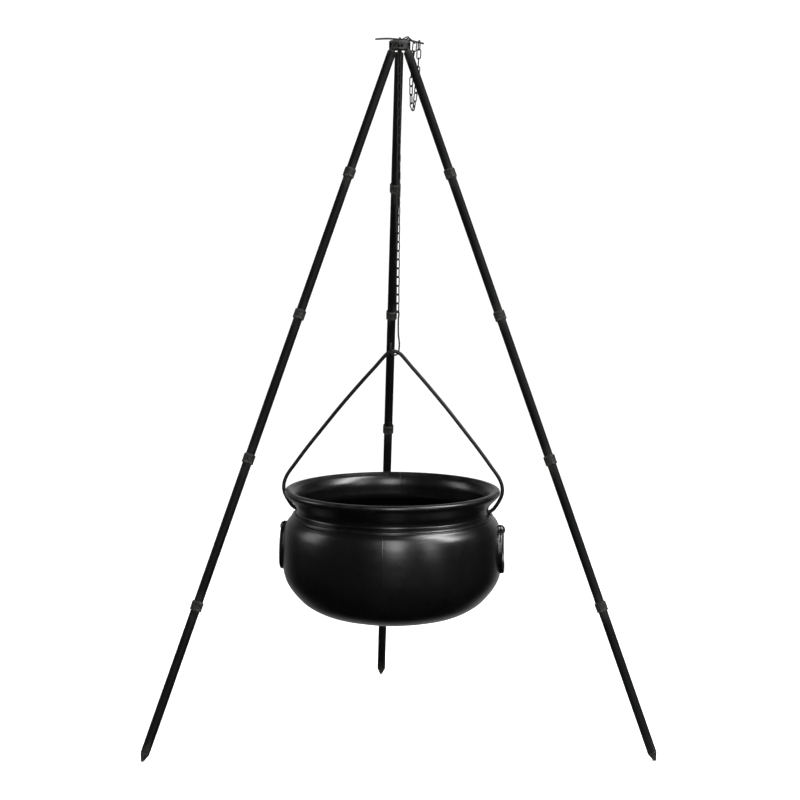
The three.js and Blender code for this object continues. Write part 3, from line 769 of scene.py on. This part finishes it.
def build_hook():
    c, s = math.cos(rad(220)), math.sin(rad(220))
    top = CHAIN_BOT - LINK_HALF + 2 * WIRE + 0.3 + 1.4
    bot = BAIL_TOP - BAIL_R - 0.3 - 1.4 - 1.9
    pts = [(2.4, top - 10.6), (3.5, top - 7.6), (3.6, top - 4.2), (2.0, top - 0.9), (0, top), (-2.2, top - 1.0), (-3.3, top - 4.2),
           (-3.0, top - 8.2), (-2.2, top - 12.5), (-2.2, top - 30), (-2.6, 668), (-4.0, 660), (-4.9, 652), (-4.3, 644.5),
           (-1.8, bot + 2.8), (4.6, bot), (11.0, bot + 2.8), (13.9, bot + 8.8), (14.4, bot + 15), (14.4, bot + 20)]
    path = trim(catmull([(c * d, s * d, z) for d, z in pts], 260), 0.7)
    v, f, loc, total = sweep(path, 1.4, 20, 4)
    v = np.asarray(v)
    w = []
    for p, l in zip(v, loc):
        near_top = max(0, 1 - abs(p[2] - top) / 3.5)
        near_bot = max(0, 1 - abs(p[2] - bot) / 4.5)
        ends = 0.9 if (l[2] < 1.2 or l[2] > total - 1.2) else 0
        w.append(min(1, 0.2 + 0.8 * max(near_top, near_bot, ends)))
    b = Build()
    b.add(v, f, loc=loc, wear=w)
    o = b.make("hook_wire", STEEL, 60)
    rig.ride(o, "hook")
    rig.replaces(o, "s_hook")
    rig.slot(o, "fitting_steel")


POT_AT = Matrix.Translation((-5.8, -2.8, 0)) @ Matrix.Rotation(rad(-7.5), 4, "Z")


def build_bail():
    half = [(150.5, -37), (157, -37), (163, -36.6), (168.6, -33.4), (174.4, -26.5), (179.6, -18), (183.4, -9.5), (184.8, -1), (183.8, 8),
            (179.8, 18.5), (173.8, 28), (166, 38.5), (155.4, 53.2), (140.6, 72.8), (124.6, 93.0), (108.6, 113.2), (92.6, 133.2),
            (76.4, 152.6), (60.1, 171.6), (43.6, 190.4), (30.8, 204.6), (18, 219.5), (9.7, 227.6)]
    pts = [(x, 0, RIM_Z + z) for x, z in half] + [(0, 0, BAIL_TOP)] + [(-x, 0, RIM_Z + z) for x, z in reversed(half)]
    v, f, loc, total = sweep(trim(catmull(pts, 420), 1.2), BAIL_R, 24, 5)
    w = []
    for p in v:
        near_hook = max(0, 1 - abs(p[0]) / 9) * (1 if p[2] > BAIL_TOP - 12 else 0)
        near_ear = max(0, 1 - abs(abs(p[0]) - 161) / 5) * (1 if p[2] < EAR_Z + 6 else 0)
        w.append(max(near_hook, near_ear))
    b = Build()
    b.add(v, f, loc=loc, wear=w, matrix=POT_AT)
    o = b.make("bail_rod", BAIL, 60)
    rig.ride(o, "bail")
    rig.replaces(o, "bail_handle")
    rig.slot(o, "bail_black")


# ------------------------------------------------------------------ cauldron
OUTER = [(0, -218.8), (30, -218.8), (58, -218.5), (80, -216.9), (100, -213.4), (122, -206.7), (141.4, -196.8), (153.8, -187.4), (163.6, -176.8),
         (171.6, -166.4), (178.0, -155.4), (181.8, -144.5), (183.7, -132), (184.3, -118), (184.3, -106), (183.9, -92), (183.0, -80),
         (181.4, -68), (179.4, -60.6), (176.6, -55.0), (173.8, -51.4), (171.8, -49.0)]
# a low bead, set off by a shallow groove, where the belly meets the neck
STEP = [(170.7, -47.9), (169.6, -47.2), (169.4, -46.5), (169.7, -45.6), (169.4, -44.7), (168.5, -43.6), (167.0, -42.3), (165.0, -40.9), (163.0, -39.9)]
NECK = [(161.5, -38.9), (160.9, -37.6), (160.9, -35.6), (161.3, -32.0), (162.8, -28.0), (165.4, -24.0), (168.8, -20.0), (172.6, -16.0), (176.0, -12.6), (178.8, -9.4)]
LIP = [(180.3, -7.2), (180.8, -5.0), (180.6, -3.0), (179.6, -1.3), (177.8, -0.2), (175.6, 0.4), (172.8, 0.5), (170.4, -0.4), (168.2, -2.2)]
INNER = [(163.6, -5.6), (161.2, -9.0), (159.4, -12.2), (158.2, -15.4), (157.7, -18.8), (157.6, -23), (157.8, -29), (157.8, -37.5), (159.0, -42.4), (163.2, -47.0), (169.4, -51.8), (174.6, -57.6),
         (178.2, -66), (180.2, -79), (181.2, -94), (181.3, -108), (181.1, -122), (180.3, -134.2), (178.4, -145.0), (175.2, -153.4), (169.0, -164.6), (161.4, -174.2),
         (151.6, -184.4), (139.8, -194.2), (120.6, -203.9), (99, -210.4), (79, -213.9), (57, -215.6), (30, -215.8), (0, -215.8)]


def dense_profile():
    """The outline as closely spaced points, with the region each belongs to."""
    pts, kind = [], []
    outline = OUTER + STEP + NECK + LIP + INNER
    lens = (len(OUTER) + len(STEP), len(OUTER) + len(STEP) + len(NECK) + len(LIP))
    c = catmull([(x, 0, z) for x, z in outline], 2400)[:, (0, 2)]
    s = np.concatenate([[0], np.cumsum(np.linalg.norm(np.diff(c, axis=0), axis=1))])
    # position along the curve of the end of each region
    def at(p):
        return s[np.argmin(np.linalg.norm(c - np.array(p), axis=1))]
    s_lip0, s_lip1 = at(NECK[-1]), at(INNER[0])
    s_step0, s_step1 = at(OUTER[-1]), at(NECK[0])
    s_ring0, s_ring1 = at((181.6, -145)), at(OUTER[-1])
    u = [0.0]
    while u[-1] < s[-1]:
        x = u[-1]
        if s_ring0 <= x <= s_ring1:
            d = 0.75
        elif s_step0 - 1 <= x <= s_step1 + 1:
            d = 0.8
        elif s_step1 < x <= s_lip0:
            d = 0.8
        elif s_lip0 < x <= s_lip1:
            d = 1.0
        elif x < s_ring0:
            d = 4.0
        else:
            zz = np.interp(x, s, c[:, 1])
            d = 0.8 if -45 < zz < -29 else 4.0
        u.append(min(x + d, s[-1]))
        if u[-1] == s[-1]:
            break
    u = np.array(u)
    r = np.interp(u, s, c[:, 0])
    z = np.interp(u, s, c[:, 1])
    outer = u < (s_lip0 + s_lip1) / 2
    return r, z, outer, u


def columns():
    """Angles round the pot, close together at the two handles and at the mould seam."""
    out = []
    a = 0.0
    R = 184.0
    while a < 2 * math.pi - 1e-6:
        out.append(a)
        near_ear = min(abs(math.remainder(a, math.pi)) * R, 1e9)
        near_seam = abs(math.remainder(a - math.pi / 2, math.pi)) * R
        if near_ear < 43:
            step = 0.75
        elif near_seam < 2.2:
            step = 0.3
        elif near_seam < 6:
            step = 0.9
        else:
            step = 4.0
            step = min(step, max(0.9, near_seam - 2.0), max(0.8, near_ear - 40) if near_ear < 47 else 9)
        a += step / R
    return np.array(out)


def smoothstep(x, a, b):
    t = np.clip((x - a) / (b - a), 0, 1)
    return t * t * (3 - 2 * t)


def build_pot():
    r, z, outer, u = dense_profile()
    th = columns()
    n, m = len(r), len(th)
    T, Rr = np.meshgrid(th, r)
    _, Z = np.meshgrid(th, z)
    # normal of the profile in the r-z plane
    dr, dz = np.gradient(r, u), np.gradient(z, u)
    ln = np.hypot(dr, dz) + 1e-9
    nr, nz = dz / ln, -dr / ln            # the outline runs up the outside, so this points outwards
    h = np.zeros((n, m))
    tag = np.zeros((n, m))
    wear = np.zeros((n, m))
    out2 = np.repeat(outer[:, None], m, 1)
    for s in (0.0, math.pi):
        d_ang = np.vectorize(lambda a: math.remainder(a - s, 2 * math.pi))(th)
        Y = Rr * np.sin(d_ang)[None, :]
        front = (np.cos(d_ang) > 0)[None, :]
        # ring in relief
        rho = np.hypot(Y, Z + 102)
        d = np.abs(rho - 34.5)
        ring = np.where(d < 3.9, 2.6 * smoothstep(3.9 - d, 0, 1.0) + np.sqrt(np.clip(3.9 ** 2 - d ** 2, 0, None)), 0)
        # boss that the ring hangs from
        q = np.sqrt((Y / 9.4) ** 2 + ((Z + 67.5) / 8.4) ** 2)
        boss = np.where(q < 1, 9.4 * np.sqrt(np.clip(1 - q ** 2, 0, None)), 0)
        both = np.maximum(ring, boss)
        band = out2 & front & (Z < -52) & (Z > -146)
        h += np.where(band, both, 0)
        wear += np.where(band, smoothstep(both, 4.6, 6.8) * 0.8, 0)
        # bail hole in the neck, seen from both sides, with a low rim moulded round it
        e = np.hypot(Y, Z + 37)
        hole = 1 - smoothstep(e, 3.5, 4.1)
        lip = np.exp(-((e - 5.6) / 1.1) ** 2) * 0.7
        near = front & (Z < -26) & (Z > -48)
        h += np.where(near & out2, lip - 1.35 * hole - lip * hole, 0)
        h += np.where(near & ~out2, -1.35 * hole, 0)
    # mould seam: a fine raised line front and back, and a fine groove inside the upper wall
    for s in (math.pi / 2, -math.pi / 2):
        d_ang = np.vectorize(lambda a: math.remainder(a - s, 2 * math.pi))(th)
        dist = np.abs(d_ang)[None, :] * Rr
        line = np.where(np.cos(d_ang)[None, :] > 0, np.exp(-(dist / 0.55) ** 2), 0)
        h += np.where(out2, line * 0.1, 0)
        h += np.where(~out2 & (Z > -60), -line * 0.2, 0)
        tag = np.maximum(tag, line)
    # hand-moulded unevenness, well under a millimetre
    h += np.where(out2 & (Z < -50), 0.35 * np.sin(T * 3 + 0.7) * np.cos(Z / 47.0) + 0.2 * np.sin(T * 7 + Z / 31.0), 0) * smoothstep(Rr, 60, 140)
    lipw = smoothstep(Z, -6.5, -1.5) * 0.7
    base = np.where(Z < -214, 0.8 * smoothstep(Rr, 40, 62), 0)
    step_w = np.where(out2, np.exp(-((Z + 43) / 1.8) ** 2) * 0.4, 0)
    wear = np.clip(wear + lipw + base + step_w, 0, 1)
    R2 = Rr + nr[:, None] * h
    Z2 = Z + nz[:, None] * h
    # the mouth of a moulded pot is never quite round
    oval = 1 + 0.0012 * np.cos(2 * T + 0.4) * smoothstep(Z, -60, 0)
    R2 = R2 * oval
    X, Y = R2 * np.cos(T), R2 * np.sin(T)
    pts = np.stack([X, Y, Z2 + 37], -1).reshape(-1, 3)
    faces = []
    # first and last rows are on the axis: each closes on one vertex
    for k in range(1, n - 2):
        a, c = k * m, (k + 1) * m
        for i in range(m):
            j = (i + 1) % m
            faces.append((a + i, a + j, c + j, c + i))
    bottom, top = 0, (n - 1) * m
    for i in range(m):
        j = (i + 1) % m
        faces.append((bottom, m + j, m + i))
        faces.append((top, (n - 2) * m + i, (n - 2) * m + j))
    keep = np.zeros(n * m, bool)
    keep[[bottom, top]] = True
    keep[m:(n - 1) * m] = True
    remap = np.cumsum(keep) - 1
    faces = [tuple(int(remap[i]) for i in f) for f in faces]
    mat = POT_AT @ Matrix.Translation((0, 0, EAR_Z)) @ Matrix.Rotation(rad(3.3), 4, "X")
    b = Build()
    b.add(pts[keep], faces, wear=wear.reshape(-1)[keep], tag=tag.reshape(-1)[keep], matrix=mat)
    o = b.make("cauldron_shell", POT, 179)
    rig.ride(o, "pot")
    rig.replaces(o, "cauldron")
    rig.slot(o, "pot_black")
    print("cauldron rows", n, "columns", m)


build_head()
for _side, _az in LEG_AZ.items():
    build_leg(_side, _az)
build_chain()
build_hook()
build_bail()
build_pot()


# ------------------------------------------------------------------ stage
def build_floor():
    """A pale sheet that runs back and curves up into a wall."""
    prof = [(-9.0, 0.0), (-6.0, 0.0), (-3.0, 0.0), (0.0, 0.0), (4.0, 0.0), (8.0, 0.0)]
    prof += [(8.0 + 4.0 * math.sin(a), 4.0 - 4.0 * math.cos(a)) for a in np.linspace(0.1, math.pi / 2, 14)]
    prof += [(12.0, 9.0)]
    verts, faces = [], []
    xs = np.linspace(-14, 14, 15)
    for y, z in prof:
        for x in xs:
            verts.append((x, y, z - 0.0006))
    k = len(xs)
    for i in range(len(prof) - 1):
        for j in range(k - 1):
            faces.append((i * k + j, i * k + j + 1, (i + 1) * k + j + 1, (i + 1) * k + j))
    me = bpy.data.meshes.new("floor_sheet")
    me.from_pydata(verts, [], faces)
    me.update()
    o = bpy.data.objects.new("floor_sheet", me)
    bpy.context.scene.collection.objects.link(o)
    for p in me.polygons:
        p.use_smooth = True
    m = bpy.data.materials.new("paper")
    m.use_nodes = True
    nt = m.node_tree
    bsdf = nt.nodes["Principled BSDF"]
    noise = nt.nodes.new("ShaderNodeTexNoise")
    noise.inputs["Scale"].default_value = 3.0
    mixn = nt.nodes.new("ShaderNodeMix")
    mixn.data_type = "RGBA"
    mixn.inputs[6].default_value = (0.86, 0.86, 0.86, 1)
    mixn.inputs[7].default_value = (0.88, 0.88, 0.88, 1)
    nt.links.new(noise.outputs["Fac"], mixn.inputs["Factor"])
    nt.links.new(mixn.outputs[2], bsdf.inputs["Base Color"])
    bsdf.inputs["Roughness"].default_value = 0.9
    bsdf.inputs["Specular IOR Level"].default_value = 0.1
    me.materials.append(m)
    o.visible_glossy = False
    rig.stage(o)


build_floor()


def area(name, azimuth, elevation, distance, size_x, size_y, power, aim=(0, -0.12, 0.35)):
    """A soft box. Azimuth 0 is straight in front (-Y), positive towards +X."""
    d = bpy.data.lights.new(name, "AREA")
    d.shape = "RECTANGLE"
    d.size, d.size_y = size_x, size_y
    d.energy = power
    o = bpy.data.objects.new(name, d)
    a, e = rad(azimuth), rad(elevation)
    aim = Vector(aim)
    o.location = aim + Vector((math.sin(a) * math.cos(e), -math.cos(a) * math.cos(e), math.sin(e))) * distance
    o.rotation_euler = (aim - o.location).to_track_quat("-Z", "Y").to_euler()
    o.visible_camera = False
    bpy.context.scene.collection.objects.link(o)
    return o


area("key_front", 0, 22, 3.6, 0.85, 3.1, 98)
area("front_right", 38, 21, 3.6, 0.65, 3.0, 42)
area("high_right", 66, 47, 3.2, 0.85, 2.9, 200)
area("left", -97, 20, 3.6, 1.5, 2.2, 40)

world = bpy.data.worlds.new("studio")
bpy.context.scene.world = world
world.use_nodes = True
wn = world.node_tree
wn.nodes.clear()
wout, bg_soft, bg_refl, mixer, lp = (wn.nodes.new(t) for t in (
    "ShaderNodeOutputWorld", "ShaderNodeBackground", "ShaderNodeBackground", "ShaderNodeMixShader", "ShaderNodeLightPath"))
bg_soft.inputs["Color"].default_value = (1, 1, 1, 1)
bg_soft.inputs["Strength"].default_value = 1.2
# what the finishes mirror: a dim band low in front, a bright sheet behind, dark floor and ceiling
tc, sep = wn.nodes.new("ShaderNodeTexCoord"), wn.nodes.new("ShaderNodeSeparateXYZ")
wn.links.new(tc.outputs["Generated"], sep.inputs[0])


def ramp(value, a, b, lo, hi):
    n = wn.nodes.new("ShaderNodeMapRange")
    n.interpolation_type = "SMOOTHSTEP"
    for key, v in (("From Min", a), ("From Max", b), ("To Min", lo), ("To Max", hi)):
        n.inputs[key].default_value = v
    wn.links.new(value, n.inputs["Value"])
    return n.outputs["Result"]


def calc(op, a, b):
    n = wn.nodes.new("ShaderNodeMath")
    n.operation = op
    for k, v in enumerate((a, b)):
        if isinstance(v, (int, float)):
            n.inputs[k].default_value = v
        else:
            wn.links.new(v, n.inputs[k])
    return n.outputs[0]


Y, Z = sep.outputs["Y"], sep.outputs["Z"]
band = calc("MULTIPLY", ramp(Z, -0.1, 0.1, 0, 1), ramp(Z, 0.12, 0.42, 1, 0.1))
behind = calc("MULTIPLY", ramp(Y, 0.6, 0.98, 0, 0.8), ramp(sep.outputs["X"], -0.5, 0.4, 0.45, 1))
wn.links.new(calc("ADD", calc("ADD", calc("MULTIPLY", band, 0.09), behind), 0.004), bg_refl.inputs["Strength"])
wn.links.new(lp.outputs["Is Glossy Ray"], mixer.inputs[0])
wn.links.new(bg_soft.outputs[0], mixer.inputs[1])
wn.links.new(bg_refl.outputs[0], mixer.inputs[2])
wn.links.new(mixer.outputs[0], wout.inputs[0])

# ------------------------------------------------------------------ camera
cam_data = bpy.data.cameras.new("camera")
cam = bpy.data.objects.new("camera", cam_data)
bpy.context.scene.collection.objects.link(cam)
cam_data.sensor_width = 36.0
cam_data.lens = 96.09
cam_data.clip_end = 100
yaw, pitch, roll = 0.043497, 0.068630, 0.0085985
fwd = Vector((math.sin(yaw) * math.cos(pitch), math.cos(yaw) * math.cos(pitch), -math.sin(pitch)))
right = Vector((math.cos(yaw), -math.sin(yaw), 0))
up = right.cross(fwd)
cx = right * math.cos(roll) + up * math.sin(roll)
cy = right * -math.sin(roll) + up * math.cos(roll)
pos = Vector((-0.1501, -3.5758, 0.8045)) + HEAD.translation
cam.matrix_world = Matrix(((cx.x, cy.x, -fwd.x, pos.x), (cx.y, cy.y, -fwd.y, pos.y), (cx.z, cy.z, -fwd.z, pos.z), (0, 0, 0, 1)))
bpy.context.scene.camera = cam
bpy.context.scene.view_settings.view_transform = "Standard"

with open("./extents.json", "w") as f:
    json.dump({"cad": [list(v) for v in CAD_BOX], "visual": [list(v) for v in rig.bounds()]}, f)
